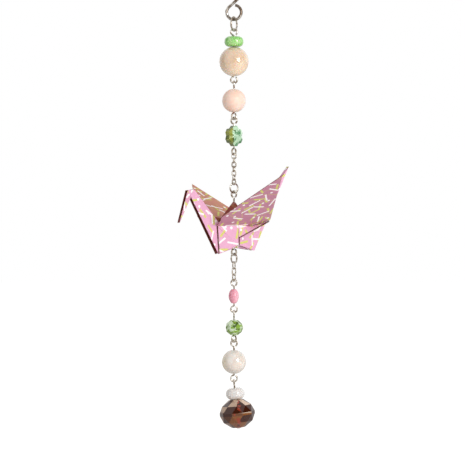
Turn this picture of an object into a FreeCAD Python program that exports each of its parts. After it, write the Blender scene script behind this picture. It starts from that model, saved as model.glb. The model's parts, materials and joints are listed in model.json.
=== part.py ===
import FreeCAD, Part
import os
from math import acos, asin, cos, degrees, hypot, pi, radians, sin, sqrt, tan

# A hanging ornament: an S-hook, then eye pins with beads, a fine cable chain,
# a crane folded from one paper square, more chain and beads, and a crystal dangle.
# Millimetres. +Z is up, +X is to the right seen from the front, and the front faces -Y.
# The origin is the hanging seat: the inside top of the S-hook's upper loop.
# Every turn is in degrees about Z, from a loop that faces the front.

Vector = FreeCAD.Vector
UP = Vector(0, 0, 1)

# Wire, and the play between hung pieces
hang_clearance = 0.07
bead_clearance = 0.05
bead_gap = 0.03
ring_split = 0.08

# S-hook
hook_wire = 1.0
hook_inside = 3.96
hook_pitch = 6.66
hook_mouth_turn = 205.0
hook_end_gap = 0.1

# Jump rings: outside diameter, wire, turn, and where on the ring its cut is
jump_rings = {
    "hook_ring": {"outside": 5.3, "wire": 0.6, "turn": 65, "cut_at": 20},
    "crane_ring": {"outside": 3.84, "wire": 0.54, "turn": 38, "cut_at": 160},
    "lower_ring": {"outside": 3.9, "wire": 0.54, "turn": -56, "cut_at": 20},
}

# Eye loops of the pins
pin_wire = 0.6
eye_outside = 2.76
eye_neck_radius = 0.35
eye_end_gap = 0.12

# Pins: bare shank above and below the beads (less than none where an eye sits in a bead's
# mouth), and the turns of the upper and lower eyes
pins = {
    "cream_pin": {"neck": 0.1, "foot": -0.15, "upper": 0, "lower": 0},
    "peach_pin": {"neck": 0.2, "foot": -0.1, "upper": 90, "lower": 48},
    "flower_pin": {"neck": 0.5, "foot": 0.6, "upper": -25, "lower": 52},
    "crane_pin": {"neck": 0.85, "foot": 0.55, "upper": -40, "lower": 43},
    "oval_pin": {"neck": 0.5, "foot": 0.3, "upper": -30, "lower": 0},
    "green_crystal_pin": {"neck": 0.75, "foot": -0.1, "upper": 90, "lower": 48},
    "pale_pin": {"neck": 0.8, "foot": 0.15, "upper": -20, "lower": 0},
    "head_pin": {"neck": 0.35, "upper": 90},
}

# Cable chain
link_wire = 0.4
link_length = 2.34
link_width = 1.8
lower_link_length = 2.93
chain_links = 7
lower_links = 3
link_turn = 86.0
chain_first_turn = -10.0
lower_first_turn = 58.0

# Beads
countersink = 0.3
drill_run = 1.0
bead_shoulder = 0.1
green_rondelle_size = (6.5, 3.5)
cream_bead_size = (10.0, 10.0)
peach_bead_size = (8.0, 8.0)
pale_bead_size = (8.2, 8.2)
clear_rondelle_size = (6.4, 3.9)
oval_bead_size = (3.7, 5.4)
green_crystal_size = (6.1, 5.2)
green_crystal_sides = 9
brown_crystal_size = (12.0, 9.5)
brown_crystal_sides = 12
flower_width = 6.8
flower_thickness = 2.9
flower_petals = 6
flower_turn = 57.0
petal_flat = 0.19
petal_valley = 0.84
flower_table = 0.5
flower_rim = 0.42
facet_rings = (
    {"width": 0.40, "level": 0.50, "step": 0},
    {"width": 0.80, "level": 0.30, "step": 0.5},
    {"width": 1.00, "level": 0.07, "step": 0},
    {"width": 1.00, "level": -0.07, "step": 0},
    {"width": 0.80, "level": -0.30, "step": 0.5},
    {"width": 0.40, "level": -0.50, "step": 0},
)

# Head pin, and how far the dangle leans at rest
head_radius = 0.75
head_thickness = 0.45
head_flat = 0.3
head_bulge = 0.09
dangle_lean = 6.0

# Paper crane: one square, folded
paper_side = 75.0
paper_ply = 0.1
crane_turn = 35.5
wing_fold = 7.0
fold_half_length = 7.7
fold_spread = 2.5
fold_end_spread = 0.65
near_wing_rise = 33.0
far_wing_rise = 28.6
far_wing_sweep = 4.8
wing_corner_rise = 3.6
ridge_join = 4.5
body_notch = 0.5
body_spread = 2.93
neck_corner = (7.1, -2.55)
neck_rise = 60.0
neck_length = 36.0
head_length = 12.6
head_crease = -6.6
tail_corner = (-7.9, -1.4)
tail_rise = 62.6
tail_length = 32.6
leg_spine = 0.45
leg_flare = 0.045
leg_wall = 0.22
leg_heel = (0.9, -0.25)


# Wire forms

def arc(centre, radius, start, end, axis_x, axis_z):
    """A step of a wire's path: round centre, from start to end degrees, in the plane of two axes."""
    a = radians(start)
    spoke = axis_x * cos(a) + axis_z * sin(a)
    heading = axis_z * cos(a) - axis_x * sin(a)
    sense = 1 if end > start else -1
    axis = axis_x.cross(axis_z) * sense
    return {"start": centre + spoke * radius, "heading": heading * sense,
            "centre": centre, "axis": axis, "angle": abs(end - start)}


def straight(start, end):
    """A step of a wire's path: a straight from one point to another."""
    return {"start": start, "heading": end - start, "run": end - start}


def line(start, end):
    return Part.LineSegment(start, end).toShape()


def swept(steps, diameter, closed=False, end=None):
    """A round wire along a smooth path: a torus's side for each arc, a cylinder's for each
    straight, and a flat at each end unless the path closes on itself. The faces in end take
    the place of the first flat."""
    section = Part.Circle(steps[0]["start"], steps[0]["heading"], diameter / 2).toShape()
    sides = list(end or [])
    if not closed and not end:
        sides.append(Part.Face(Part.Wire(section)))
    for step in steps:
        following = section.copy()
        if "run" in step:
            sides.append(section.extrude(step["run"]))
            following.translate(step["run"])
        else:
            sides.append(section.revolve(step["centre"], step["axis"], step["angle"]))
            following.rotate(step["centre"], step["axis"], step["angle"])
        section = following
    if not closed:
        sides.append(Part.Face(Part.Wire(section)))
    skin = Part.makeCompound(sides)
    skin.sewShape()
    wire = Part.Solid(skin.Shells[0])
    if wire.Volume < 0:
        wire.reverse()
    return wire


def across(turn):
    """The level direction in which a loop with this turn lies."""
    return Vector(cos(radians(turn)), sin(radians(turn)), 0)


def s_hook():
    """Two loops joined by a straight diagonal: the lower one closed, the upper one open."""
    radius = (hook_inside + hook_wire) / 2
    right = across(0)
    upper = Vector(0, 0, -hook_inside / 2)
    lower = upper - UP * hook_pitch
    slope = 90 - degrees(asin(2 * radius / hook_pitch))
    leave = 90 + slope
    closed = degrees(acos((radius - hook_wire / 2 - hook_end_gap) / (radius + hook_wire / 2)))
    normal = right * cos(radians(leave)) + UP * sin(radians(leave))
    wire = swept([
        arc(lower, radius, leave - closed, leave - 360, right, UP),
        straight(lower + normal * radius, upper - normal * radius),
        arc(upper, radius, leave - 180, hook_mouth_turn, right, UP),
    ], hook_wire)
    return wire, lower.z - radius


def jump_ring(outside, wire, top, turn, cut_at):
    """A round ring with its cut ends almost butted, hung by its topmost point."""
    radius = (outside - wire) / 2
    centre = Vector(0, 0, top - radius)
    half = degrees(ring_split / radius) / 2
    ring = swept([arc(centre, radius, cut_at + half, cut_at - half + 360, across(turn), UP)], wire)
    return ring, top - 2 * radius


def chain_link(length, top, turn):
    """A soldered oval link: two half turns and two straights."""
    radius = (link_width - link_wire) / 2
    side = across(turn)
    high = Vector(0, 0, top - radius)
    low = Vector(0, 0, top - (length - link_wire) + radius)
    link = swept([
        arc(high, radius, 0, 180, side, UP),
        straight(high - side * radius, low - side * radius),
        arc(low, radius, 180, 360, side, UP),
        straight(low + side * radius, high + side * radius),
    ], link_wire, closed=True)
    return link, top - (length - link_wire)


eye_radius = (eye_outside - pin_wire) / 2
eye_bend = degrees(acos(eye_neck_radius / (eye_neck_radius + eye_radius)))
eye_height = (eye_neck_radius + eye_radius) * sin(radians(eye_bend))


def eye_loop(shank_end, turn, sense, inward):
    """The neck and round loop at a shank's end; sense is 1 at the top and -1 at the bottom,
    and inward gives the path from the loop's cut end to the shank.

    The neck bends off the axis and the loop turns back over it, so the loop's centre is on it.
    """
    side = across(turn)
    rise = UP * sense
    reach = eye_neck_radius + eye_radius
    stop = eye_neck_radius + pin_wire + eye_end_gap
    short = degrees(acos((eye_radius ** 2 + reach ** 2 - stop ** 2) / (2 * eye_radius * reach)))
    bend = shank_end - side * eye_neck_radius
    centre = shank_end + rise * eye_height
    near, cut = 180 + eye_bend, eye_bend - 180 + short
    if inward:
        return [arc(centre, eye_radius, cut, near, side, rise),
                arc(bend, eye_neck_radius, eye_bend, 0, side, rise)]
    return [arc(bend, eye_neck_radius, 0, eye_bend, side, rise),
            arc(centre, eye_radius, near, cut, side, rise)]


def eye_pin(top, shank, top_turn, bottom_turn):
    """A pin with an eye at each end, hung by the top of its upper eye."""
    high = Vector(0, 0, top - eye_radius - eye_height)
    low = high - UP * shank
    path = (eye_loop(low, bottom_turn, -1, True) + [straight(low, high)]
            + eye_loop(high, top_turn, 1, False))
    return swept(path, pin_wire), low.z - eye_height - eye_radius


def head_pin(top, shank, turn):
    """A pin with one eye, and a small domed head below the last bead."""
    high = Vector(0, 0, top - eye_radius - eye_height)
    low = high - UP * shank
    rim, bottom = Vector(head_radius, 0, 0), Vector(head_flat, 0, -head_thickness)
    bulge = (rim + bottom) / 2 + Vector(head_bulge, 0, -head_bulge)
    discs = [Part.Face(Part.Wire(Part.Circle(low + UP * z, UP, radius).toShape()))
             for radius, z in ((pin_wire / 2, 0), (head_radius, 0), (head_flat, -head_thickness))]
    head = [
        discs[1].cut(discs[0]),
        Part.Arc(low + rim, low + bulge, low + bottom).toShape().revolve(low, UP, 360),
        discs[2],
    ]
    return swept([straight(low, high)] + eye_loop(high, turn, 1, False), pin_wire, end=head)


# Beads. Each hangs on the axis with its top at the height given.

hole_radius = pin_wire / 2 + bead_clearance


def drilled(solid, top, height):
    """A bead's hole down the axis, with both mouths countersunk."""
    tool = Part.makeCylinder(hole_radius, height + 2 * drill_run, Vector(0, 0, top - height - drill_run))
    wide = hole_radius + countersink
    for face, sense in ((top, -1), (top - height, 1)):
        mouth = Part.makeCone(wide, hole_radius, countersink, Vector(0, 0, face), UP * sense)
        plug = Part.makeCylinder(wide, drill_run, Vector(0, 0, face), UP * -sense)
        tool = tool.fuse([mouth, plug])
    return solid.cut(tool)


def round_bead(size, top):
    """A round bead turned from an outline: a circle's arc on a ball or a rondelle, and half an
    ellipse on a bead longer than it is wide, between two small flat ends."""
    width, height = size
    radius, half = width / 2, height / 2
    mouth = hole_radius + countersink + bead_shoulder
    if height < width:
        shoulder = Vector(max(radius - half, mouth), 0, half)
    else:
        shoulder = Vector(mouth, 0, half * sqrt(1 - (mouth / radius) ** 2))
    foot = Vector(shoulder.x, 0, -shoulder.z)
    if height > width:
        outline = Part.Ellipse(Vector(0, 0, half), Vector(radius, 0, 0), Vector(0, 0, 0))
        side = Part.ArcOfEllipse(outline, outline.parameter(shoulder), outline.parameter(foot))
    else:
        side = Part.Arc(shoulder, Vector(radius, 0, 0), foot)
    profile = Part.Wire(Part.sortEdges([
        line(UP * shoulder.z, shoulder),
        side.toShape(),
        line(foot, UP * foot.z),
        line(UP * foot.z, UP * shoulder.z),
    ])[0])
    solid = Part.Face(profile).revolve(Vector(0, 0, 0), UP, 360)
    solid.translate(UP * (top - half))
    return drilled(solid, top - half + shoulder.z, 2 * shoulder.z)


def polyhedron(faces):
    """A closed solid from lists of corner points."""
    sides = [Part.Face(Part.makePolygon(list(points) + [points[0]])) for points in faces]
    solid = Part.Solid(Part.Shell(sides))
    if solid.Volume < 0:
        solid.reverse()
    return solid


def ring_of(radius, height, count, phase):
    return [Vector(radius * cos(2 * pi * (i + phase) / count),
                   radius * sin(2 * pi * (i + phase) / count), height) for i in range(count)]


def faceted_bead(size, sides, top):
    """A cut rondelle: rings of corners, each half a step round from the last, with flat
    triangles between them and a small table at each end."""
    width, height = size
    radius = width / 2
    middle = top - height / 2
    rings = [ring_of(radius * ring["width"], middle + height * ring["level"], sides, ring["step"])
             for ring in facet_rings]
    phases = [ring["step"] for ring in facet_rings]
    faces = [rings[0], rings[-1][::-1]]
    for i, (upper, lower) in enumerate(zip(rings, rings[1:])):
        for k in range(sides):
            n = (k + 1) % sides
            if phases[i] == phases[i + 1]:
                faces.append([upper[k], lower[k], lower[n], upper[n]])
            elif phases[i] == 0:
                faces.append([upper[k], lower[k], upper[n]])
                faces.append([lower[k], lower[n], upper[n]])
            else:
                faces.append([upper[k], lower[n], upper[n]])
                faces.append([upper[k], lower[k], lower[n]])
    return drilled(polyhedron(faces), top, height)


def flower_bead(top):
    """A thick cut flower, drilled from rim to rim: a flat table each side, sloped petals,
    and an upright rim."""
    outline = []
    radius = flower_width / 2
    step = 360.0 / flower_petals
    for petal in range(flower_petals):
        for share, offset in ((1.0, -petal_flat), (1.0, petal_flat), (petal_valley, 0.5)):
            a = radians(step * (petal + offset) + 90)
            outline.append((share * cos(a), share * sin(a)))
    front = across(flower_turn - 90)
    side = across(flower_turn)
    centre = Vector(0, 0, top - radius * cos(radians(step * petal_flat)))
    half = flower_thickness / 2
    rim = half * flower_rim
    layers = ((flower_table, -half), (1.0, -rim), (1.0, rim), (flower_table, half))
    rings = [[centre + side * (x * radius * share) + UP * (z * radius * share) + front * depth
              for x, z in outline] for share, depth in layers]
    faces = [rings[0], rings[-1][::-1]]
    for upper, lower in zip(rings, rings[1:]):
        for k in range(len(outline)):
            n = (k + 1) % len(outline)
            faces.append([upper[k], lower[k], lower[n], upper[n]])
    return drilled(polyhedron(faces), top, flower_width * cos(radians(step * petal_flat)))


# Paper crane. Its own axes: u towards the head, v towards the near wing, w up from the crotch.

def crane_axes(base):
    """Turns a point on the crane's own axes into the ornament's."""
    s, c = sin(radians(crane_turn)), cos(radians(crane_turn))

    def at(u, v, w):
        return Vector(-u * c + v * s, -u * s - v * c, base + w)
    return at


def panel(points, thickness):
    """One flat facet of paper, half its thickness to each side."""
    normal = (points[1] - points[0]).cross(points[2] - points[0]).normalize()
    face = Part.Face(Part.makePolygon([p - normal * (thickness / 2) for p in points + [points[0]]]))
    return face.extrude(normal * thickness)


def body_side(at, side, rise, sweep):
    """Half of the body and its wing; side is 1 for the near half and -1 for the far one."""
    crown = paper_side * tan(radians(22.5)) / 2
    reach = paper_side / 2 - wing_fold
    top = at(0, 0, crown)
    middle = at(0, side * fold_spread, wing_fold)
    notch = at(0, side * body_spread, body_notch)
    out, lift = cos(radians(rise)), sin(radians(rise))
    turn = radians(sweep)

    def wing(u, s):
        along = s * cos(turn) - u * sin(turn)
        return at(u * cos(turn) + s * sin(turn), side * (fold_spread + along * out), wing_fold + along * lift)
    tip = wing(0, reach)
    corner_half = (reach - wing_corner_rise) * tan(radians(22.5))
    panels = []
    for end, corner in ((1, neck_corner), (-1, tail_corner)):
        ridge = at(end * ridge_join, 0, crown - (crown - wing_fold) * ridge_join / fold_half_length)
        fold_end = at(end * fold_half_length, side * fold_end_spread, wing_fold)
        low = at(corner[0], side * (leg_spine + leg_flare * fold_half_length), corner[1])
        wing_corner = wing(end * corner_half, wing_corner_rise)
        panels += [
            panel([top, ridge, middle], 2 * paper_ply),
            panel([ridge, fold_end, middle], 2 * paper_ply),
            panel([fold_end, middle, notch], 2 * paper_ply),
            panel([fold_end, notch, low], 2 * paper_ply),
            panel([middle, wing_corner, fold_end], 2 * paper_ply),
            panel([middle, tip, wing_corner], 2 * paper_ply),
        ]
    return panels


def wedge(at, corners, origin, inward, half_at):
    """A flat polygon in the crane's middle plane, thickened to a half width that grows with
    the distance inward from a spine line through origin."""
    def half(point):
        return half_at((point[0] - origin[0]) * inward[0] + (point[1] - origin[1]) * inward[1])
    near = [at(u, half((u, w)), w) for u, w in corners]
    far = [at(u, -half((u, w)), w) for u, w in corners]
    count = len(corners)
    faces = [near, far[::-1]]
    for k in range(count):
        n = (k + 1) % count
        faces.append([near[k], far[k], far[n], near[n]])
    return polyhedron(faces)


def trough(at, corners, origin, spine, inward):
    """A folded strip of several plies: two walls joined along the spine, open at the other edge."""
    reach = 2 * neck_length
    outer = wedge(at, corners, origin, inward, lambda away: leg_spine + leg_flare * away)

    def beside(along, away):
        return tuple(origin[i] + spine[i] * along + inward[i] * away for i in (0, 1))
    hollow = [beside(-reach, leg_wall), beside(reach, leg_wall), beside(reach, reach), beside(-reach, reach)]
    inner = wedge(at, hollow, origin, inward, lambda away: leg_spine + leg_flare * away - leg_wall)
    return outer.cut(inner)


def unit(x, y):
    size = hypot(x, y)
    return (x / size, y / size)


def leg(at, corner, rise, length, sense, head):
    """The neck or the tail: a long narrow triangle from the crotch and the body's corner to
    its tip. On the neck the tip is folded over into the head."""
    edge = (sense * cos(radians(rise)), sin(radians(rise)))
    tip = (corner[0] + edge[0] * length, corner[1] + edge[1] * length)
    spine = unit(*tip)
    inward = (sense * spine[1], -abs(spine[0]))
    heel = (-sense * leg_heel[0], leg_heel[1])
    if not head:
        return [trough(at, [heel, corner, tip], (0, 0), spine, inward)]
    back = (tip[0] - spine[0] * head_length, tip[1] - spine[1] * head_length)
    crease = (cos(radians(head_crease)), sin(radians(head_crease)))
    across_gap = (back[0] - corner[0], back[1] - corner[1])
    turn = edge[0] * crease[1] - edge[1] * crease[0]
    along = (across_gap[0] * crease[1] - across_gap[1] * crease[0]) / turn
    crown = (corner[0] + edge[0] * along, corner[1] + edge[1] * along)
    shift = (tip[0] - back[0], tip[1] - back[1])
    kept = shift[0] * crease[0] + shift[1] * crease[1]
    beak = (back[0] + 2 * kept * crease[0] - shift[0], back[1] + 2 * kept * crease[1] - shift[1])
    jaw = unit(beak[0] - back[0], beak[1] - back[1])
    front = (-jaw[1], jaw[0])
    return [
        trough(at, [heel, corner, crown, back], (0, 0), spine, inward),
        trough(at, [back, crown, beak], back, jaw, front),
    ]


def paper_crane(base):
    """The whole folded crane as one solid, pierced for its pin at the hump and the crotch."""
    at = crane_axes(base)
    pieces = body_side(at, 1, near_wing_rise, 0) + body_side(at, -1, far_wing_rise, -far_wing_sweep)
    pieces += leg(at, neck_corner, neck_rise, neck_length, 1, True)
    pieces += leg(at, tail_corner, tail_rise, tail_length, -1, False)
    crane = pieces[0].fuse(pieces[1:])
    pierced = Part.makeCylinder(hole_radius, paper_side, Vector(0, 0, base - paper_side / 2))
    return crane.cut(pierced).removeSplitter()


# Assembly, from the hook down. Each piece hangs from the wire of the one above it.

nodes = {}
hangs = {}
spins = {}


class Hanging:
    """Where the next piece hangs: the height, diameter and turn of the wire that carries it."""

    def __init__(self, name, height, wire, turn):
        self.move(name, height, wire, turn)

    def move(self, name, height, wire, turn):
        self.name, self.height, self.wire, self.turn = name, height, wire, turn

    def top(self, name, wire):
        """The centre height of the next piece's top wire, which rests on this one."""
        hangs[name] = (self.name, Vector(0, 0, self.height), across(self.turn))
        return self.height + (self.wire + wire) / 2 + hang_clearance


def hang_ring(at, name):
    ring = jump_rings[name]
    wire, turn = ring["wire"], ring["turn"]
    nodes[name], low = jump_ring(ring["outside"], wire, at.top(name, wire), turn, ring["cut_at"])
    at.move(name, low, wire, turn)


def hang_chain(at, name, count, length, first_turn):
    for i in range(count):
        link = f"{name}_{i + 1}"
        turn = first_turn + i * link_turn
        nodes[link], low = chain_link(length, at.top(link, link_wire), turn)
        at.move(link, low, link_wire, turn)


def hang_pin(at, name, beads):
    """An eye pin and, on its shank, each bead: its name, its height, and what makes it."""
    pin = pins[name]
    top = at.top(name, pin_wire)
    bead_top = top - eye_radius - eye_height - pin["neck"]
    for bead, height, make in beads:
        nodes[bead] = make(bead_top)
        spins[bead] = name
        bead_top -= height + bead_gap
    filled = sum(height for _, height, _ in beads) + bead_gap * (len(beads) - 1)
    nodes[name], low = eye_pin(top, pin["neck"] + filled + pin["foot"], pin["upper"], pin["lower"])
    at.move(name, low, pin_wire, pin["lower"])


def round_one(name, size):
    return (name, size[1], lambda top: round_bead(size, top))


flower_height = flower_width * cos(radians(360.0 / flower_petals * petal_flat))
crane_hump = paper_side * tan(radians(22.5)) / 2

nodes["s_hook"], hook_low = s_hook()
at = Hanging("s_hook", hook_low, hook_wire, 0)
hang_ring(at, "hook_ring")
hang_pin(at, "cream_pin", [round_one("green_rondelle", green_rondelle_size),
                           round_one("cream_bead", cream_bead_size)])
hang_pin(at, "peach_pin", [round_one("peach_bead", peach_bead_size)])
hang_pin(at, "flower_pin", [("flower_crystal", flower_height, flower_bead)])
hang_chain(at, "chain_link", chain_links, link_length, chain_first_turn)
hang_ring(at, "crane_ring")
hang_pin(at, "crane_pin", [("paper_crane", crane_hump, lambda top: paper_crane(top - crane_hump))])
hang_ring(at, "lower_ring")
hang_chain(at, "lower_link", lower_links, lower_link_length, lower_first_turn)
hang_pin(at, "oval_pin", [round_one("oval_bead", oval_bead_size)])
hang_pin(at, "green_crystal_pin", [
    ("green_crystal", green_crystal_size[1],
     lambda top: faceted_bead(green_crystal_size, green_crystal_sides, top)),
])
hang_pin(at, "pale_pin", [round_one("pale_bead", pale_bead_size)])

# Dangle: built upright, then leant about the wire that carries it
dangle_seat = Vector(0, 0, at.height)
dangle_top = at.top("head_pin", pin_wire)
dangle_neck = pins["head_pin"]["neck"]
clear_top = dangle_top - eye_radius - eye_height - dangle_neck
brown_top = clear_top - clear_rondelle_size[1] - bead_gap
dangle_shank = dangle_neck + clear_rondelle_size[1] + brown_crystal_size[1] + 2 * bead_gap
nodes["clear_rondelle"] = round_bead(clear_rondelle_size, clear_top)
nodes["brown_crystal"] = faceted_bead(brown_crystal_size, brown_crystal_sides, brown_top)
nodes["head_pin"] = head_pin(dangle_top, dangle_shank, pins["head_pin"]["upper"])
for name in ("head_pin", "clear_rondelle", "brown_crystal"):
    nodes[name].rotate(dangle_seat, Vector(0, 1, 0), -dangle_lean)
spins["clear_rondelle"] = spins["brown_crystal"] = "head_pin"

os.makedirs("parts", exist_ok=True)
for name, shape in nodes.items():
    solid = shape.Solids[0] if len(shape.Solids) == 1 else shape
    print(name, "solids", len(shape.Solids), "valid", shape.isValid(), "volume", round(shape.Volume, 3))
    solid.exportStep(f"parts/{name}.step")
print("lowest", round(min(shape.BoundBox.ZMin for shape in nodes.values()), 2))
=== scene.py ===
import json
from math import acos, asin, cos, hypot, pi, radians, sin, sqrt, tan

import bpy
import numpy as np
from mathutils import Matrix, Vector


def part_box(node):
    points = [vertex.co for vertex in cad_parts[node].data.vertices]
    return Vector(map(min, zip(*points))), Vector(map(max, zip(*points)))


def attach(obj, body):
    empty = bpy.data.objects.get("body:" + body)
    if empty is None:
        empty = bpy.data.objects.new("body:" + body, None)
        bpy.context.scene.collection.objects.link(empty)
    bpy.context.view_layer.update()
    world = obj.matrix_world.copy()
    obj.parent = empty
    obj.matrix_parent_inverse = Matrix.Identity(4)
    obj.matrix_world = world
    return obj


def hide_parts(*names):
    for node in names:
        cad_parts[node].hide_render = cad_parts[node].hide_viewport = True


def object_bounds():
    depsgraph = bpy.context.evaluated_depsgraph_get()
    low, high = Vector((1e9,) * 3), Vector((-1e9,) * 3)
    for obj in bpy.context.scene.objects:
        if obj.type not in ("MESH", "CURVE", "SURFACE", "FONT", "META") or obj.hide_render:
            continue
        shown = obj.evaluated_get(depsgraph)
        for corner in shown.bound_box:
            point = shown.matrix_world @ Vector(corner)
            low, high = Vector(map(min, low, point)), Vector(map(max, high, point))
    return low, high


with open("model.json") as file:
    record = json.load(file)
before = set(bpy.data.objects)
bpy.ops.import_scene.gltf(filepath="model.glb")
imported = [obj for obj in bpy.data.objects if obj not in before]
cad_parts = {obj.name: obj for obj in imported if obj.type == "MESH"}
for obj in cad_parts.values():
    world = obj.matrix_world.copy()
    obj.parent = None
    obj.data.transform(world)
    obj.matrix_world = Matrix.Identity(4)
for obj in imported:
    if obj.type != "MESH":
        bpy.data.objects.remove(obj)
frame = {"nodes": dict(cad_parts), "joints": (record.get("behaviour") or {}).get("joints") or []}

cad_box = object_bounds()
cad = frame["nodes"]
joints = {joint["name"]: joint for joint in frame["joints"]}
mm = 0.001

# Studio: the ornament hangs over a pale floor in front of a white sweep, lit by one softbox to
# the right of a long lens that is level with the ornament's middle. Past the white sweep and the
# ceiling the room is dim, and that is what gives wire and cut glass their dark lines.

scene = bpy.context.scene
camera = bpy.data.objects.new("camera", bpy.data.cameras.new("camera"))
scene.collection.objects.link(camera)
camera.data.lens = 148
camera.location = (-0.0005, -0.65, -0.0835)
camera.rotation_euler = (pi / 2, 0, 0)
camera.data.clip_start, camera.data.clip_end = 0.01, 20
scene.camera = camera
scene.view_settings.view_transform = "Standard"


class Dab:
    """One socket in a material's nodes. Arithmetic on it adds the Math nodes."""

    def __init__(self, tree, socket=None):
        self.tree, self.socket = tree, socket

    def put(self, kind, inputs=None, output=0, stops=None, **settings):
        """Adds a node: first its settings, then a ramp's stops, then the values or links of its
        sockets. What comes back is one of its outputs."""
        node = self.tree.nodes.new(kind)
        for name, value in settings.items():
            setattr(node, name, value)
        for i, (place, colour) in enumerate(stops or []):
            stop = node.color_ramp.elements[i] if i < 2 else node.color_ramp.elements.new(place)
            stop.position, stop.color = place, colour
        for name, value in (inputs or {}).items():
            if isinstance(value, Dab):
                self.tree.links.new(value.socket, node.inputs[name])
            else:
                node.inputs[name].default_value = value
        return Dab(self.tree, node.outputs[output] if node.outputs else None)

    def sums(self, operation, first, second=0.0):
        return self.put("ShaderNodeMath", {0: first, 1: second}, operation=operation)

    def __add__(self, other):
        return self.sums("ADD", self, other)

    def __sub__(self, other):
        return self.sums("SUBTRACT", self, other)

    def __rsub__(self, other):
        return self.sums("SUBTRACT", other, self)

    def __mul__(self, other):
        return self.sums("MULTIPLY", self, other)

    def __abs__(self):
        return self.sums("ABSOLUTE", self)

    def __lt__(self, other):
        return self.sums("LESS_THAN", self, other)

    def most(self, other):
        return self.sums("MAXIMUM", self, other)

    __radd__, __rmul__ = __add__, __mul__

    def parts(self):
        """The three numbers of a vector or a colour."""
        split = self.put("ShaderNodeSeparateXYZ", {"Vector": self})
        return [Dab(self.tree, split.socket.node.outputs[i]) for i in range(3)]

    def between(self, low, high):
        """0 below low, 1 above high, and a smooth step from one to the other."""
        return self.put("ShaderNodeMapRange", {"Value": self, "From Min": low, "From Max": high},
                        interpolation_type="SMOOTHSTEP")

    def tinted(self, low, high):
        """One colour where this is 0 and another where it is 1."""
        return self.put("ShaderNodeMix", {0: self, 6: low, 7: high}, output=2, data_type="RGBA")

    def tinted_by(self, share):
        """The same colour, darker."""
        return self.put("ShaderNodeVectorMath", {0: self, 3: share}, operation="SCALE")

    def moved(self, shift):
        return self.put("ShaderNodeVectorMath", {0: self, 1: shift}, operation="ADD")

    def place(self):
        return self.put("ShaderNodeTexCoord", output=3)

    def noise(self, size, detail=3, where=None, dimensions="3D"):
        """Soft noise from 0 to 1 whose blotches are about this size in metres."""
        return self.put("ShaderNodeTexNoise", {
            "Vector": where or self.place(), "Scale": 1 / size, "Detail": detail,
        }, noise_dimensions=dimensions)

    def bump(self, height, distance, strength=1.0):
        return self.put("ShaderNodeBump", {
            "Height": height, "Distance": distance, "Strength": strength,
        })


def colour(red, green, blue):
    """A colour as it looks on a screen, from 0 to 255, turned into light."""
    return tuple(c / 3294.6 if c <= 10 else ((c / 255 + 0.055) / 1.055) ** 2.4
                 for c in (red, green, blue)) + (1.0,)


def finish(name, surface, owner=None):
    """A material, or the world's own nodes, from a function that mixes its surface."""
    made = owner or bpy.data.materials.new(name)
    made.use_nodes = True
    made.node_tree.nodes.clear()
    dab = Dab(made.node_tree)
    dab.put("ShaderNodeOutputWorld" if owner else "ShaderNodeOutputMaterial",
            {"Surface": surface(dab)})
    return made


card_way = (-0.72, -0.6, 0.35)
white = (1, 1, 1, 1)
dim_brown = colour(48, 36, 28)
room_light = 0.56


def room(dab):
    """White sweep behind, light ceiling and white cards in front, with dim brown room between."""
    way = dab.put("ShaderNodeTexCoord")
    _, back, up = way.parts()
    card = dab.put("ShaderNodeVectorMath", {0: way, 1: card_way}, output=1, operation="DOT_PRODUCT")
    light = back.between(0.1, 0.5).most(up.between(0.4, 0.85)).most(card.between(0.72, 0.9) * 0.95)
    seen = light.tinted(dim_brown, white)
    rays = dab.put("ShaderNodeLightPath").socket.node.outputs
    mirrored = Dab(dab.tree, rays["Is Glossy Ray"]).most(Dab(dab.tree, rays["Is Transmission Ray"]))
    lit = dab.put("ShaderNodeBackground", {"Color": white, "Strength": room_light})
    shown = dab.put("ShaderNodeBackground", {"Color": seen, "Strength": 1.0})
    sweep = dab.put("ShaderNodeBackground", {"Color": white, "Strength": 1.0})
    around = dab.put("ShaderNodeMixShader", {0: mirrored, 1: lit, 2: shown})
    lens = Dab(dab.tree, rays["Is Camera Ray"])
    return dab.put("ShaderNodeMixShader", {0: lens, 1: around, 2: sweep})


scene.world = scene.world or bpy.data.worlds.new("studio")
finish("studio", room, scene.world)

softbox_way = np.array([0.577, -0.775, 0.256])
softbox_distance = 0.6
softbox = bpy.data.objects.new("softbox", bpy.data.lights.new("softbox", "AREA"))
scene.collection.objects.link(softbox)
softbox.data.shape = "RECTANGLE"
softbox.data.size, softbox.data.size_y = 0.24, 0.3
softbox.data.energy = 2.0
softbox_turn = radians(36.7)
softbox.location = tuple(softbox_way * softbox_distance + np.array(camera.location) * (0, 0, 1))
softbox.rotation_euler = (pi / 2 - asin(softbox_way[2]), 0, softbox_turn)

floor_drop = 0.03
floor_half = 3.0


def floor_surface(dab):
    """Matt white card. The light added for the lens alone makes up for what the dim room lacks."""
    card = dab.put("ShaderNodeBsdfDiffuse", {"Color": colour(246, 245, 243)})
    rays = dab.put("ShaderNodeLightPath").socket.node.outputs
    extra = Dab(dab.tree, rays["Is Camera Ray"]) * room_light
    glow = dab.put("ShaderNodeEmission", {"Color": white, "Strength": extra})
    return dab.put("ShaderNodeAddShader", {0: card, 1: glow})


floor_mesh = bpy.data.meshes.new("floor")
level = cad_box[0].z - floor_drop
floor_mesh.from_pydata([(x * floor_half, y * floor_half, level)
                        for x, y in ((-1, -1), (1, -1), (1, 1), (-1, 1))], [], [(0, 1, 2, 3)])
floor = bpy.data.objects.new("floor", floor_mesh)
scene.collection.objects.link(floor)
floor_mesh.materials.append(finish("floor_card", floor_surface))

# S-hook: one bend of 1 mm plated steel, bright where it was polished and brown in blotches,
# where the plating has worn. It carries the whole ornament.


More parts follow.
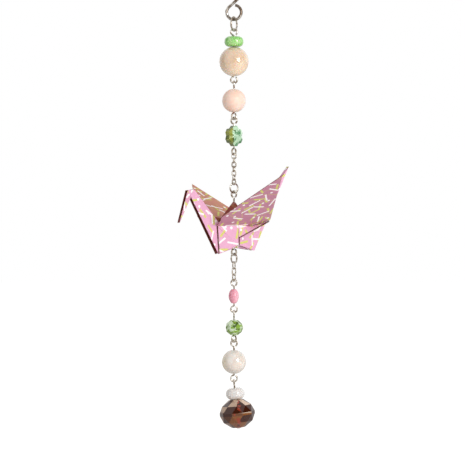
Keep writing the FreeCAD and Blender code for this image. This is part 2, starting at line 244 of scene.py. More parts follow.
def metal(worn, bright, blotch, roughness):
    """A drawn wire's surface: worn and bright colours in blotches, and fine lines from the die."""
    def surface(dab):
        wear = dab.noise(blotch, 4).between(0.38, 0.66)
        lines = dab.noise(0.12 * mm, 2)
        return dab.put("ShaderNodeBsdfPrincipled", {
            "Base Color": wear.tinted(worn, bright),
            "Metallic": 1.0,
            "Roughness": roughness + (1 - wear) * 0.16 + lines * 0.06,
            "Normal": dab.bump(lines, 0.004 * mm, 0.5),
        })
    return surface


worn_steel, bright_steel = colour(116, 98, 82), colour(236, 231, 222)
hook_steel = finish("hook_steel", metal(worn_steel, bright_steel, 1.8 * mm, 0.14))


def dressed(node, material):
    """A solid of the frame that keeps its own mesh and takes this finish."""
    mesh = cad[node].data
    mesh.materials.clear()
    mesh.materials.append(material)


dressed("s_hook", hook_steel)

# Rings, chain and pins: silver-plated wire, bent cold on round pliers. The chain's links are
# soldered, and the jump rings and eyes are closed by butting their ends.

worn_silver, bright_silver = colour(158, 142, 122), colour(248, 244, 236)
silver_wire = finish("silver_wire", metal(worn_silver, bright_silver, 0.9 * mm, 0.12))
wires = [node for node in cad if node.endswith(("_ring", "_pin")) or "_link_" in node]
for node in wires:
    dressed(node, silver_wire)

# Round beads: pressed or turned glass and stone, drilled down the axis with the hole's mouths
# eased so that they don't cut the wire. Each turns freely on its pin.

bore = 0.35 * mm
bore_play = 0.02 * mm
mouth = 0.75 * mm
rounding = 0.1 * mm
ease = 0.3 * mm


def closed_grid(name, points, material, node):
    """A closed skin from points on a grid that joins up both ways, such as a turned bead with a
    hole. It takes the place of a node and rides on that node's body."""
    rows, columns = points.shape[:2]
    row, column = np.meshgrid(np.arange(rows), np.arange(columns), indexing="ij")
    next_row, next_column = (row + 1) % rows, (column + 1) % columns
    corners = np.stack([row * columns + column, row * columns + next_column,
                        next_row * columns + next_column, next_row * columns + column], -1)
    return skin(name, points.reshape(-1, 3), corners.reshape(-1, 4), material, node)


def skin(name, points, faces, material, node, smooth=True):
    """A mesh in the scene that takes the place of a node and rides on that node's body."""
    mesh = bpy.data.meshes.new(name)
    mesh.from_pydata(points.tolist(), [], faces.tolist() if hasattr(faces, "tolist") else faces)
    mesh.polygons.foreach_set("use_smooth", [smooth] * len(mesh.polygons))
    mesh.materials.append(material)
    piece = bpy.data.objects.new(name, mesh)
    scene.collection.objects.link(piece)
    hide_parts(node)
    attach(piece, node)
    return piece


def seat(node):
    """A bead's middle, and its hole's direction with two directions square to it."""
    low, high = (np.array(corner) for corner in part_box(node))
    along = np.array(joints[node + "_spin"]["axis"])
    across = np.cross([0, 1, 0], along)
    across /= np.linalg.norm(across)
    return (low + high) / 2, np.stack([across, np.cross(along, across), along])


def turned(name, node, profile, material, shape=None, slices=120):
    """A bead from a closed profile of radius and height, carried round the hole's axis. shape
    changes the radius by the angle and the height, for a bead that isn't truly round."""
    middle, axes = seat(node)
    radius, height = profile[:, 0, None], profile[:, 1, None]
    angle = np.linspace(0, 2 * pi, slices, endpoint=False)[None, :]
    if shape:
        radius = np.where(radius > mouth, radius * shape(angle, height), radius)
    across, deep = radius * np.cos(angle), radius * np.sin(angle)
    local = np.stack(np.broadcast_arrays(across, deep, height), -1)
    return closed_grid(name, middle + local @ axes, material, node)


def hole_profile(half):
    """From a bead's upper flat, in over the eased edge, down the hole and out again."""
    turn = np.linspace(0, pi / 2, 7)
    upper = np.stack([mouth - ease * np.sin(turn), half - ease * (1 - np.cos(turn))], -1)
    wall = np.stack([np.full(5, bore + bore_play), np.linspace(0.6, -0.6, 5) * half], -1)
    lower = upper[::-1] * (1, -1)
    return np.concatenate([upper, wall, lower])


def ball_profile(width):
    """A circle's arc from mouth to mouth, then the hole."""
    radius = width / 2
    reach = acos((mouth + rounding) / radius)
    angle = np.linspace(-reach, reach, 72)
    outside = np.stack([radius * np.cos(angle), radius * np.sin(angle)], -1)
    return np.concatenate([outside, hole_profile(radius * sin(reach))])


def rondelle_profile(width, height, fullness):
    """A full half round at the rim between two flats, then the hole. A fullness of 1 is a half
    circle, and less is squarer: the power that the angle's sine and cosine are raised to."""
    rim = height / 2
    angle = np.linspace(-pi / 2, pi / 2, 48)
    out, up = np.abs(np.cos(angle)) ** fullness, np.sign(angle) * np.abs(np.sin(angle)) ** fullness
    outside = np.stack([width / 2 - rim + rim * out, rim * up], -1)
    return np.concatenate([outside, hole_profile(rim)])


def glass(dab, base, roughness, **fixed):
    """A bead's body colour under its polish. What doesn't vary is set on the sockets."""
    return dab.put("ShaderNodeBsdfPrincipled", {
        "Base Color": base, "Roughness": roughness, "IOR": 1.5,
        **{key.replace("_", " "): value for key, value in fixed.items()},
    })


def jade(dab):
    """Milky green glass with paler clouds."""
    clouds = dab.noise(2.2 * mm, 3).between(0.35, 0.7)
    return glass(dab, clouds.tinted(colour(134, 208, 104), colour(188, 232, 156)), 0.1,
                 Subsurface_Weight=0.6, Subsurface_Radius=(0.5, 1.0, 0.4), Subsurface_Scale=0.0012,
                 Transmission_Weight=0.12, Coat_Weight=0.4, Coat_Roughness=0.05)


def opal(dab):
    """Cream opal glass: faint warm swirls, paler low down as a painted glow of light through the
    bead, with a wet-looking polish.
    """
    where = dab.place()
    swirl = dab.noise(3.4 * mm, 4, where.moved((0.01, 0.02, 0))).between(0.3, 0.75)
    middle = sum(corner.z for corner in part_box("cream_bead")) / 2
    # Painted light: the lower part is made paler, a glow of light through the bead.
    low = (1 - where.parts()[2].between(middle - 5 * mm, middle)) * 0.6
    body = swirl.tinted(colour(226, 198, 171), colour(239, 216, 193))
    return glass(dab, low.tinted(body, colour(250, 232, 206)), 0.09,
                 Subsurface_Weight=0.6, Subsurface_Radius=(1.0, 0.7, 0.45), Subsurface_Scale=0.002,
                 Coat_Weight=0.5, Coat_Roughness=0.04)


def coral(dab):
    """Peach stone with a satin polish, chalky patches and a slight bloom of colour."""
    patches = dab.noise(2.6 * mm, 5).between(0.35, 0.72)
    specks = dab.noise(0.35 * mm, 3)
    return dab.put("ShaderNodeBsdfPrincipled", {
        "Base Color": patches.tinted(colour(255, 214, 194), colour(255, 231, 218)),
        "Roughness": 0.36 + specks * 0.12,
        "IOR": 1.5,
        "Subsurface Weight": 0.3, "Subsurface Radius": (1.0, 0.55, 0.4), "Subsurface Scale": 0.0015,
        "Normal": dab.bump(specks, 0.006 * mm, 0.6),
    })


def agate(dab):
    """Pale agate: soft grey and rose clouds in a milky body, a few white veins, and yellower down
    its left side."""
    where = dab.place()
    clouds = dab.noise(3.0 * mm, 3, where.moved((0.03, 0, 0.01))).between(0.3, 0.72)
    veins = 1 - abs(dab.noise(3.6 * mm, 2, where) - 0.5).between(0.0, 0.03)
    rose = dab.noise(5.5 * mm, 2, where.moved((0, 0.04, 0))).between(0.4, 0.7)
    body = clouds.tinted(colour(220, 211, 203), colour(236, 229, 222))
    body = (rose * 0.5).tinted(body, colour(240, 220, 202))
    low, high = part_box("pale_bead")
    band = 1 - where.parts()[0].between(low.x, low.x + 2.6 * mm)
    body = (band * 0.55).tinted(body, colour(236, 218, 176))
    return glass(dab, (veins * 0.45).tinted(body, colour(254, 250, 246)), 0.1,
                 Subsurface_Weight=0.5, Subsurface_Radius=(1.0, 0.8, 0.7), Subsurface_Scale=0.0018,
                 Coat_Weight=0.5, Coat_Roughness=0.05)


def frost(dab):
    """Milky rock crystal: clouds and one or two fine cracks under a polished skin."""
    where = dab.place()
    cracks = 1 - abs(dab.noise(2.6 * mm, 2, where.moved((0, 0, 0.02))) - 0.5).between(0.0, 0.02)
    haze = dab.noise(2.4 * mm, 3, where).between(0.3, 0.75)
    body = haze.tinted(colour(242, 234, 228), colour(255, 252, 250))
    return glass(dab, (cracks * 0.4).tinted(body, colour(210, 190, 180)), 0.12,
                 Subsurface_Weight=0.5, Subsurface_Radius=(1.0, 0.9, 0.85),
                 Subsurface_Scale=0.0015, Transmission_Weight=0.2,
                 Coat_Weight=0.5, Coat_Roughness=0.05)


green_glass, clear_frosted = finish("green_glass", jade), finish("clear_frosted", frost)
turned("green_rondelle_glass", "green_rondelle", rondelle_profile(6.5 * mm, 3.5 * mm, 0.9),
       green_glass)
turned("cream_bead_glass", "cream_bead", ball_profile(10.0 * mm), finish("cream_glass", opal))
turned("peach_bead_stone", "peach_bead", ball_profile(8.0 * mm), finish("peach_ceramic", coral))
turned("pale_bead_stone", "pale_bead", ball_profile(8.2 * mm), finish("pale_agate", agate))
turned("clear_rondelle_glass", "clear_rondelle", rondelle_profile(6.4 * mm, 3.9 * mm, 0.95),
       clear_frosted)

# Oval bead: a small pressed drop of pink glass, a little flatter down its right side and
# narrower at the foot.

oval_width, oval_height = 3.7 * mm, 5.4 * mm


def oval_profile():
    """Half an ellipse from mouth to mouth, then the hole."""
    reach = acos((mouth + rounding) / (oval_width / 2))
    angle = np.linspace(-reach, reach, 60)
    outside = np.stack([oval_width / 2 * np.cos(angle), oval_height / 2 * np.sin(angle)], -1)
    return np.concatenate([outside, hole_profile(oval_height / 2 * sin(reach))])


def drop_shape(angle, height):
    """Full on the left, flatter on the right, and narrower low down."""
    flat = 0.10 * np.clip(np.cos(angle), 0, 1) ** 2
    low = 0.10 * np.clip(-height / (oval_height / 2), 0, 1)
    return 1 - flat - low


def rose_glass(dab):
    """Opaque pink glass with a soft grain and a satin skin, paler to the right."""
    grain = dab.noise(0.9 * mm, 3).between(0.35, 0.7)
    low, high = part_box("oval_bead")
    pale = (dab.place().parts()[0].between(low.x, high.x) + grain * 0.5) * 0.66
    return glass(dab, pale.tinted(colour(224, 138, 160), colour(248, 190, 202)), 0.22 + grain * 0.1,
                 Subsurface_Weight=0.3, Subsurface_Radius=(1.0, 0.5, 0.5), Subsurface_Scale=0.001)


turned("oval_bead_glass", "oval_bead", oval_profile(), finish("pink_glass", rose_glass), drop_shape)

# Cut rondelles: machine-cut glass, half coated in a metal lustre. Rings of flat facets meet at
# crisp edges that are only just polished off, and each facet's tone is painted as the light it
# catches, so no two facets catch the light alike.

edge_polish = 0.05 * mm


def cut_rondelle(name, node, width, height, sides, material, seed):
    """Rings of corners round the hole. Each ring is a share of the radius at a share of the
    height, turned by none or half of a step; where the turn changes, the band between two rings
    is triangles, and elsewhere it is flat four-sided facets."""
    middle, axes = seat(node)
    radius = width / 2
    rings = [(bore / radius, 0.5 - ease / height, 0), (mouth / radius, 0.5, 0), (0.40, 0.5, 0),
             (0.86, 0.29, 0.5), (1.0, 0.05, 0), (1.0, -0.05, 0), (0.86, -0.29, 0.5),
             (0.40, -0.5, 0), (mouth / radius, -0.5, 0), (bore / radius, ease / height - 0.5, 0)]
    step = np.arange(sides)
    points = np.concatenate([np.stack([
        share * radius * np.cos(2 * pi * (step + phase) / sides),
        share * radius * np.sin(2 * pi * (step + phase) / sides),
        np.full(sides, level * height)], -1) for share, level, phase in rings])
    faces = []
    after = (step + 1) % sides
    for i, ring in enumerate(rings):
        j = (i + 1) % len(rings)
        a, b, c, d = i * sides + step, j * sides + step, j * sides + after, i * sides + after
        if ring[2] == rings[j][2]:
            faces += np.stack([a, b, c, d], -1).tolist()
        elif ring[2] == 0:
            faces += np.stack([a, b, d], -1).tolist() + np.stack([b, c, d], -1).tolist()
        else:
            faces += np.stack([a, c, d], -1).tolist() + np.stack([a, b, c], -1).tolist()
    piece = skin(name, middle + points @ axes, faces, material, node, smooth=False)
    tone_facets(piece, seed)
    return piece


def tone_facets(piece, seed):
    """Gives each facet a tone from 0 to 1, then takes off the sharp edges."""
    tones = np.random.default_rng(seed).random(len(piece.data.polygons))
    tone = piece.data.attributes.new("tone", "FLOAT", "FACE")
    tone.data.foreach_set("value", tones.astype(np.float32))
    polish = piece.modifiers.new("polished_edges", "BEVEL")
    polish.width, polish.segments, polish.limit_method = edge_polish, 2, "ANGLE"
    polish.angle_limit = radians(8)


def facet_tone(dab):
    return dab.put("ShaderNodeAttribute", output=2, attribute_name="tone")


def glints(dab, size):
    """Painted glints: small patches with a tone each, for what is seen of the far facets through
    the near ones. small patches with a tone each.
    """
    cells = dab.put("ShaderNodeTexVoronoi", {"Vector": dab.place(), "Scale": 1 / size},
                    output=1, distance="CHEBYCHEV")
    return cells.parts()[0]


def smoky(dab):
    """Smoke-brown glass: a painted reflection of tan lustre on some upper facets, gold-brown ones
    below, and painted red-brown glints in a band through the middle, which shows at the front and
    the back."""
    low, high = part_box("brown_crystal")
    right, _, up = dab.place().parts()
    across = abs(right - (low.x + high.x) / 2)
    tone = facet_tone(dab)
    girdle = (low.z + high.z) / 2
    # Painted reflection: upper facets with a tone above about a third take the tan lustre, as if
    # catching the bright ceiling.
    lit = up.between(girdle + 0.45 * mm, girdle + 0.5 * mm) * tone.between(0.34, 0.38)
    # Painted red-brown glints in a band through the middle.
    red_glint_mask = glints(dab, 1.1 * mm) * (1 - across.between(0.4 * mm, 2.2 * mm))
    deep = tone.between(0.3, 0.9).tinted(colour(62, 24, 8), colour(134, 80, 36))
    deep = red_glint_mask.between(0.3, 0.8).tinted(deep, colour(150, 56, 34))
    lustre = tone.between(0.34, 1.0).tinted(colour(140, 108, 84), colour(224, 196, 172))
    return dab.put("ShaderNodeBsdfPrincipled", {
        "Base Color": lit.tinted(deep, lustre),
        "Metallic": lit * 0.3,
        "Roughness": 0.14,
        "IOR": 1.5, "Transmission Weight": 0.06, "Coat Weight": 0.1, "Coat Roughness": 0.03,
    })


def olive(dab):
    """Olive glass with a mint and silver lustre, partly painted reflection, broken into many small
    painted glints.
    """
    mixed = facet_tone(dab) * 0.4 + glints(dab, 1.1 * mm) * 0.6
    deep = mixed.between(0.2, 0.5).tinted(colour(72, 100, 14), colour(146, 186, 70))
    # Painted reflection: where the facet and glint tones are high, the colour turns pale mint with
    # a little metal.
    mirror_and_glint = mixed.between(0.52, 0.66)
    return dab.put("ShaderNodeBsdfPrincipled", {
        "Base Color": mirror_and_glint.tinted(deep, colour(222, 240, 204)),
        "Metallic": mirror_and_glint * 0.2,
        "Roughness": 0.08,
        "IOR": 1.5, "Transmission Weight": 0.15, "Coat Weight": 0.25, "Coat Roughness": 0.03,
    })


olive_glass, smoke_glass = finish("olive_crystal", olive), finish("brown_crystal", smoky)
cut_rondelle("green_crystal_cut", "green_crystal", 6.1 * mm, 5.2 * mm, 9, olive_glass, 4)
cut_rondelle("brown_crystal_cut", "brown_crystal", 12.0 * mm, 9.5 * mm, 10, smoke_glass, 11)

# Flower crystal: a thick six-petalled cut bead, drilled from rim to rim. One half is clear olive
# glass and the other wears a mint lustre.

flower_turn = radians(46)
flower_radius = 3.55 * mm
flower_half = 1.75 * mm
petals = 6
petal_edge = radians(360 / petals * 0.19)
petal_valley = 0.84
flower_layers = ((0.55, -1.0), (1.0, -0.5), (1.0, 0.5), (0.55, 1.0))
flower_hub = 0.86


def flower():
    """The petals' outline, a share of its size at a share of the depth for each layer, then
    closed by a sunk point in the middle of each face."""
    low, high = (np.array(corner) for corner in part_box("flower_crystal"))
    centre = (low + high) / 2
    turns = np.repeat(np.arange(petals), 3) * 2 * pi / petals + pi / 2
    turns = turns + np.tile([-petal_edge, petal_edge, pi / petals], petals)
    share = np.tile([1.0, 1.0, petal_valley], petals)
    outline = np.stack([np.cos(turns), np.sin(turns)], -1) * share[:, None] * flower_radius
    side = np.array([cos(flower_turn), sin(flower_turn), 0])
    front = np.array([sin(flower_turn), -cos(flower_turn), 0])
    up = np.array([0, 0, 1])
    rings = [centre + outline[:, :1] * size * side + outline[:, 1:] * size * up
             + front * depth * flower_half for size, depth in flower_layers]
    hubs = [(centre + front * (sense * flower_half * flower_hub))[None, :] for sense in (-1, 1)]
    count = len(outline)
    points = np.concatenate(rings + hubs)
    step = np.arange(count)
    after = (step + 1) % count
    faces = []
    for i in range(len(flower_layers) - 1):
        a, b = i * count, (i + 1) * count
        faces += np.stack([a + step, b + step, b + after, a + after], -1).tolist()
    last = (len(flower_layers) - 1) * count
    first_hub, last_hub = len(flower_layers) * count, len(flower_layers) * count + 1
    faces += np.stack([after, np.full(count, first_hub), step], -1).tolist()
    faces += np.stack([last + step, np.full(count, last_hub), last + after], -1).tolist()
    return points, faces


def half_coated(dab):
    """Olive glass on one side and mint lustre on the other, both broken up by the facets' tones and
    by painted glints.
    """
    low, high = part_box("flower_crystal")
    right = dab.place().parts()[0] - (low.x + high.x) / 2
    # The tone mixes each facet's own tone with painted glints.
    tone = facet_tone(dab) * 0.4 + glints(dab, 1.2 * mm) * 0.6
    coated = (right + (tone - 0.5) * (1.4 * mm)).between(-0.2 * mm, 0.15 * mm)
    glassy = tone.between(0.35, 0.75).tinted(colour(74, 94, 4), colour(146, 152, 30))
    lustre = tone.between(0.36, 0.6).tinted(colour(70, 142, 84), colour(206, 242, 206))
    return dab.put("ShaderNodeBsdfPrincipled", {
        "Base Color": coated.tinted(glassy, lustre),
        "Metallic": coated * 0.2,
        "Roughness": 0.3 - coated * 0.2,
        "IOR": 1.45, "Transmission Weight": 0.1, "Coat Weight": 0.15, "Coat Roughness": 0.03,
    })


flower_points, flower_faces = flower()
mint = finish("mint_crystal", half_coated)
tone_facets(skin("flower_crystal_cut", flower_points, flower_faces, mint, "flower_crystal",
                 smooth=False), 5)

# Paper crane: one 75 mm square of printed paper, folded by hand, printed side out and brick red
# inside. The pin goes in at the top of the hump and out where the plies meet under the body.

paper_side = 75.0
ply = 0.1
crane_turn = radians(35.5)
wing_fold, fold_half_length, fold_spread, fold_end_spread = 7.0, 7.7, 2.5, 0.65
near_wing, far_wing = (radians(33.0), radians(1.2)), (radians(28.6), radians(-4.8))
wing_corner_rise = 3.6
neck_side_rise, neck_side_half = 5.5, 10.0
ridge_join = 4.5
body_notch, body_spread = 0.5, 2.93
neck_corner, neck_rise, neck_length = (7.1, -2.55), radians(60.0), 36.0
head_length, head_crease = 12.6, radians(-6.6)
tail_corner, tail_rise, tail_length = (-7.9, -1.4), radians(62.6), 32.6
spine_half, flare = 0.45, 0.045
leg_heel = (0.9, -0.25)
wing_crease, crease_run = 0.12, 6
slit_half = 0.16
gape = 0.1
flap_corners = ((0.05, 2.53, 7.0), (-0.05, 2.8, 3.1), (-10.6, 4.9, 8.45), (-7.6, 1.0, 6.95))
tucked_root = ((7.6, -1.5, 10.1), (4.8, -0.5, 9.55), (7.2, -0.1, 6.9))
under_flap = 0.3
# Dark strips along raw edges: the paper's cut edge, painted dark as the shadow in the gap under it.
edge_shadow_strips = (((-0.05, 2.95, 3.15), (-10.5, 5.05, 8.4), (0, 0, -0.34)),
             ((-8.4, 1.9, 7.4), (-10.9, 5.4, 8.8), (0, 0, -0.5)),
             ((0.1, 2.95, 3.2), (0.2, 3.1, 0.5), (-0.35, 0, 0)),
             ((7.7, 0.8, 7.0), (7.15, 0.95, -2.4), (-0.4, 0.12, 0)))
crown_height = paper_side * tan(radians(22.5)) / 2
pin_above_crown = 0.85 + 1.08 + 0.3 + sqrt(1.43 ** 2 - 0.35 ** 2)
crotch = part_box("crane_pin")[1].z / mm - pin_above_crown - crown_height


def on_crane(points):
    """Crane's own axes, u to the head, v to the near wing and w up from the crotch, in mm, turned
    into the ornament's, in metres."""
    u, v, w = points[..., 0], points[..., 1], points[..., 2]
    return np.stack([-u * cos(crane_turn) + v * sin(crane_turn),
                     -u * sin(crane_turn) - v * cos(crane_turn), crotch + w], -1) * mm


class Sheet:
    """Leaves of paper gathered into one mesh, each point with its place on the flat square and,
    third, its painted shade, which picks one of the paper's tones."""

    def __init__(self):
        self.points, self.faces, self.squares, self.count = [], [], [], 0

    def grid(self, points, flat, outward):
        """A leaf from points on a grid, its faces turned to face outward."""
        rows, columns = points.shape[:2]
        cell = np.arange(rows * columns).reshape(rows, columns)
        faces = np.stack([cell[:-1, :-1], cell[:-1, 1:], cell[1:, 1:], cell[1:, :-1]], -1)
        faces = faces.reshape(-1, 4)
        corner = points.reshape(-1, 3)
        normal = np.cross(corner[faces[:, 1]] - corner[faces[:, 0]],
                          corner[faces[:, 3]] - corner[faces[:, 0]]).sum(0)
        if normal @ np.asarray(outward, float) < 0:
            faces = faces[:, ::-1]
        self.faces += (faces + self.count).tolist()
        self.points.append(corner)
        self.squares.append(flat.reshape(-1, 3))
        self.count += rows * columns

    def leaf(self, corners, shift, painted_shade, outward, belly=0.0, steps=10):
        """A flat triangle or four-sided leaf between its corners, with a slight belly that is
        nothing at its edges. Its place on the square is its own u and height."""
        a, b, c = (np.array(corners[i], float) for i in (0, 1, 2))
        d = np.array(corners[3], float) if len(corners) == 4 else a
        s, t = np.meshgrid(np.linspace(0, 1, steps), np.linspace(0, 1, steps), indexing="ij")
        s, t = s[..., None], t[..., None]
        points = (1 - s) * (1 - t) * a + s * (1 - t) * b + s * t * c + (1 - s) * t * d
        normal = np.cross(b - a, c - a)
        normal /= np.linalg.norm(normal)
        points = points + normal * belly * 16 * s * (1 - s) * t * (1 - t)
        flat = np.concatenate([points[..., :1] + shift[0], points[..., 2:] + shift[1],
                               np.full_like(s, painted_shade)], -1)
        self.grid(points, flat, outward)


def wing(sheet, side, pose, curl, painted_shade, shift):
    """A wing's width is the fold's at its root, widest at its corners, and nothing at its tip,
    and its corner on the neck's side is further out. It rises from the fold at its own angle."""
    rise, sweep = pose
    reach = paper_side / 2 - wing_fold
    corner_half = (reach - wing_corner_rise) * tan(radians(22.5))
    out = np.concatenate([np.linspace(0, wing_corner_rise, 5)[:-1],
                          np.linspace(wing_corner_rise, reach - 0.02, 32)])[:, None]
    half = np.interp(out, [0, wing_corner_rise, reach], [fold_half_length, corner_half, 0.0])
    to_neck = np.interp(out, [0, neck_side_rise, reach], [fold_half_length, neck_side_half, 0.0])
    across = np.linspace(-1, 1, 25)[None, :]
    u = across * np.where(across > 0, to_neck, half)
    root = 1 - np.clip(out / wing_corner_rise, 0, 1)
    spread = fold_spread - (fold_spread - fold_end_spread) * np.abs(across) * root
    ends = np.clip(out / crease_run, 0, 1) * np.clip((reach - out) / crease_run, 0, 1)
    crease = -wing_crease * (1 - np.abs(across)) * ends
    bend = curl * (out / reach) ** 2 + crease
    along = out * cos(sweep) - u * sin(sweep)
    along = np.where(out < 1e-6, 0.0, along)
    points = np.stack(np.broadcast_arrays(
        u * cos(sweep) + out * sin(sweep),
        side * (spread + along * cos(rise) - bend * sin(rise)),
        wing_fold + along * sin(rise) + bend * cos(rise)), -1)
    flat = np.stack(np.broadcast_arrays(u + shift[0], out + shift[1], painted_shade), -1)
    sheet.grid(points, flat, (0, side * sin(rise), -cos(rise)))


def body_side(sheet, side, shift, painted_shade):
    """Half of the hump and the body: two leaves of hump and two of body towards each end. The
    halves part in a slit above the notch."""
    crown = (0, 0, crown_height)
    middle = (0, side * fold_spread, wing_fold)
    outward = (0, side, 0)
    for end, corner in ((1, neck_corner), (-1, tail_corner)):
        down = (crown_height - wing_fold) * ridge_join / fold_half_length
        ridge = (end * ridge_join, 0, crown_height - down)
        fold_end = (end * fold_half_length, side * fold_end_spread, wing_fold)
        inset = under_flap if (side, end) == (1, -1) else 0
        below = (0, side * fold_spread - inset, wing_fold)
        notch = (end * slit_half, side * body_spread - inset, body_notch)
        low = (corner[0], side * (spine_half + flare * fold_half_length), corner[1])
        # The hump's leaves are painted brick: the shade between the wings.
        sheet.leaf([crown, ridge, middle], shift, 0.92, outward)
        sheet.leaf([ridge, fold_end, middle], shift, 0.92, outward)
        sheet.leaf([fold_end, below, notch], shift, painted_shade, outward, 0.1)
        sheet.leaf([fold_end, notch, low], shift, painted_shade, outward, 0.1)


def flap(sheet, shift):
    """The near wing's own ply below the fold, loose from the slit to the wing's corner, and the
    dark strips down the slit and beside the neck: raw paper edges with painted shadow in the gaps."""
    sheet.leaf(flap_corners, shift, 0.0, (0, 1, 0), 0.0)
    for start, end, width in edge_shadow_strips:
        start, end, width = np.array(start), np.array(end), np.array(width)
        sheet.leaf([start, end, end + width, start + width], shift, 1.0, (0, 1, 0), 0.0, 4)


def wall(sheet, corners, origin, inward, shift, painted_shade):
    """Both walls of a leg, neck or head: its side view, spread to each side by a half width that
    grows with the distance from its spine, and a narrow leaf round the spine itself."""
    def half(point):
        away = (point[0] - origin[0]) * inward[0] + (point[1] - origin[1]) * inward[1]
        return spine_half + flare * away + gape
    for side in (1, -1):
        leaf = [(u, side * half((u, w)), w) for u, w in corners]
        sheet.leaf(leaf, (shift[0] + side * 11, shift[1]), painted_shade, (0, side, 0), 0.06)
    start, end = corners[0], corners[-1]
    spine = [(start[0], half(start), start[1]), (start[0], -half(start), start[1]),
             (end[0], -half(end), end[1]), (end[0], half(end), end[1])]
    sheet.leaf(spine, shift, painted_shade, (-inward[0], 0, -inward[1]))


def unit(x, y):
    """The same direction, one long."""
    size = hypot(x, y)
    return (x / size, y / size)


def leg(sheet, corner, rise, length, sense, head, shift):
    """The neck or the tail, a long narrow triangle from the crotch to its tip. The neck's tip is
    folded over into the head."""
    edge = (sense * cos(rise), sin(rise))
    tip = (corner[0] + edge[0] * length, corner[1] + edge[1] * length)
    spine = unit(*tip)
    inward = (sense * spine[1], -abs(spine[0]))
    heel = (-sense * leg_heel[0], leg_heel[1])
    if not head:
        wall(sheet, [heel, corner, tip], (0, 0), inward, shift, 0.0)
        return
    back = (tip[0] - spine[0] * head_length, tip[1] - spine[1] * head_length)
    crease = (cos(head_crease), sin(head_crease))
    gap = (back[0] - corner[0], back[1] - corner[1])
    turn = edge[0] * crease[1] - edge[1] * crease[0]
    along = (gap[0] * crease[1] - gap[1] * crease[0]) / turn
    crown = (corner[0] + edge[0] * along, corner[1] + edge[1] * along)
    shift_u, shift_w = tip[0] - back[0], tip[1] - back[1]
    kept = shift_u * crease[0] + shift_w * crease[1]
    beak = (back[0] + 2 * kept * crease[0] - shift_u, back[1] + 2 * kept * crease[1] - shift_w)
    jaw = unit(beak[0] - back[0], beak[1] - back[1])
    wall(sheet, [heel, corner, crown, back], (0, 0), inward, shift, 0.0)
    wall(sheet, [back, crown, beak], back, (-jaw[1], jaw[0]), (shift[0] + 30, shift[1]), 0.1)


def bars(dab, flat, cell, length, width, share, lean):
    """Short printed bars: in each cell of a scatter, a strip of paper round the cell's point,
    turned by the cell's own random angle, and only in some of the cells."""
    scatter = {"Vector": flat, "Scale": 1 / cell, "Randomness": 0.75}
    node = dab.put("ShaderNodeTexVoronoi", scatter, voronoi_dimensions="2D").socket.node
    chance, angle, _ = Dab(dab.tree, node.outputs["Color"]).parts()
    middle = Dab(dab.tree, node.outputs["Position"])
    away = dab.put("ShaderNodeVectorMath", {0: flat, 1: middle}, operation="SUBTRACT")
    turned_by = dab.put("ShaderNodeVectorRotate", {"Vector": away, "Angle": angle * 6.0 + lean},
                        rotation_type="Z_AXIS")
    along, across, _ = turned_by.parts()
    return (abs(along) < length / 2) * (abs(across) < width / 2) * (chance < share)


# The paper's pink in full light, then its tones of painted shade: dusky rose, salmon, brick, and
# the darkest for raw edges in shadow.
paper_tones = [(0.0, colour(236, 176, 206)), (0.3, colour(198, 132, 154)),
               (0.6, colour(212, 146, 122)), (0.9, colour(160, 70, 52)), (1.0, colour(84, 34, 26))]


def paper(dab):
    """Paper printed with short white and lime bars and white dots. Its painted shade takes the
    ground from pink in full light over dusky rose and salmon to brick, where the print hardly
    shows, and to a dark raw edge in painted shadow."""
    place = dab.put("ShaderNodeAttribute", output=1, attribute_name="paper")
    across, up, painted_shade = place.parts()
    flat = dab.put("ShaderNodeCombineXYZ", {"X": across, "Y": up})
    lime = bars(dab, flat, 3.9, 3.9, 0.72, 0.85, 0.4)
    white = bars(dab, flat.moved((31.0, 17.0, 0)), 4.4, 4.4, 0.6, 0.85, 2.1)
    fine = bars(dab, flat.moved((13.0, 71.0, 0)), 4.0, 6.0, 0.26, 0.9, 1.3)
    dots = dab.put("ShaderNodeTexVoronoi", {
        "Vector": flat.moved((7.0, 53.0, 0)), "Scale": 1 / 5.5, "Randomness": 0.9,
    }, voronoi_dimensions="2D") < 0.085
    fibre = dab.noise(0.25 * mm, 4)
    shade = dab.noise(6 * mm, 2).between(0.3, 0.7)
    ground = dab.put("ShaderNodeValToRGB", {"Fac": painted_shade}, stops=paper_tones)
    ground = (fibre * 0.35 + shade * 0.3).tinted(ground, ground.tinted_by(0.84))
    print_left_in_shade = 1 - painted_shade.between(0.75, 0.9) * 0.92
    ground = (fine * print_left_in_shade * painted_shade.between(0.05, 0.2) * 0.7).tinted(ground, colour(206, 186, 108))
    ground = (lime * print_left_in_shade).tinted(ground, colour(216, 212, 116))
    ground = (white.most(dots) * print_left_in_shade).tinted(ground, colour(255, 246, 246))
    return dab.put("ShaderNodeBsdfPrincipled", {
        "Base Color": ground, "Roughness": 0.55 + fibre * 0.2, "IOR": 1.45,
        "Normal": dab.bump(fibre, 0.02 * mm, 0.5),
    })


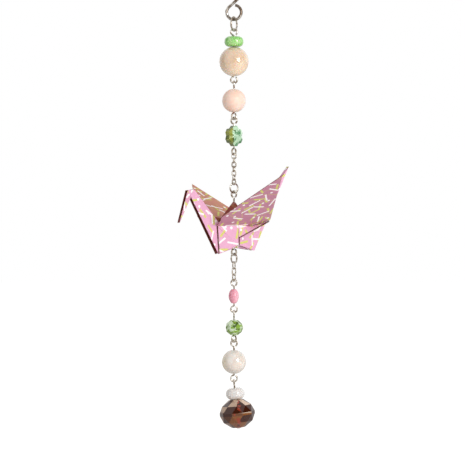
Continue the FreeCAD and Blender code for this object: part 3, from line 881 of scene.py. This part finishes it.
def reverse(dab):
    """The unprinted inside: brick-red paper with a fine tooth."""
    fibre = dab.noise(0.25 * mm, 4)
    return dab.put("ShaderNodeBsdfPrincipled", {
        "Base Color": fibre.tinted(colour(150, 62, 48), colour(184, 86, 64)),
        "Roughness": 0.7 + fibre * 0.15,
        "Normal": dab.bump(fibre, 0.02 * mm, 0.5),
    })


def shaded_reverse(dab):
    """The same paper, painted darker as shade deep inside the neck and tail and along cut edges,
    where it is darkest.
    """
    fibre = dab.noise(0.25 * mm, 4)
    return dab.put("ShaderNodeBsdfPrincipled", {
        "Base Color": fibre.tinted(colour(100, 34, 24), colour(134, 52, 36)),
        "Roughness": 0.75,
        "Normal": dab.bump(fibre, 0.02 * mm, 0.5),
    })


def folded(sheet, name, inside, cut):
    """One piece of the crane from its leaves, given the thickness of two plies: the print on the
    outer face, then what shows on the inner face and along the cut edges."""
    piece = skin(name, on_crane(np.concatenate(sheet.points)), sheet.faces, crane_paper,
                 "paper_crane", smooth=False)
    square = piece.data.attributes.new("paper", "FLOAT_VECTOR", "POINT")
    square.data.foreach_set("vector", np.concatenate(sheet.squares).ravel())
    plies = piece.modifiers.new("plies", "SOLIDIFY")
    plies.thickness, plies.offset = 2 * ply * mm, 0
    piece.data.materials.append(inside)
    piece.data.materials.append(cut)
    plies.material_offset, plies.material_offset_rim = 1, 2


crane_paper = finish("crane_paper", paper)
body, wings, legs = Sheet(), Sheet(), Sheet()
# The last numbers pick painted shade: none on the near side, a little on the far side, brick for
# the tucked root.
body_side(body, 1, (0, 0), 0.0)
body_side(body, -1, (40, 9), 0.1)
flap(body, (17, 12))
body.leaf(tucked_root, (0, 0), 0.92, (0, 1, 0))
# Painted shade: dusky rose under the near wing, salmon on the far wing's top.
wing(wings, 1, near_wing, -0.2, 0.27, (3, 20))
wing(wings, -1, far_wing, 0.3, 0.58, (60, 5))
leg(legs, neck_corner, neck_rise, neck_length, 1, True, (90, 3))
leg(legs, tail_corner, tail_rise, tail_length, -1, False, (130, 40))
# Painted shade for the insides of the neck and tail and for every cut edge.
deep = finish("crane_paper_painted_shade", shaded_reverse)
folded(body, "crane_body", finish("crane_paper_inside", reverse), deep)
folded(wings, "crane_wings", crane_paper, deep)
folded(legs, "crane_neck_and_tail", deep, deep)
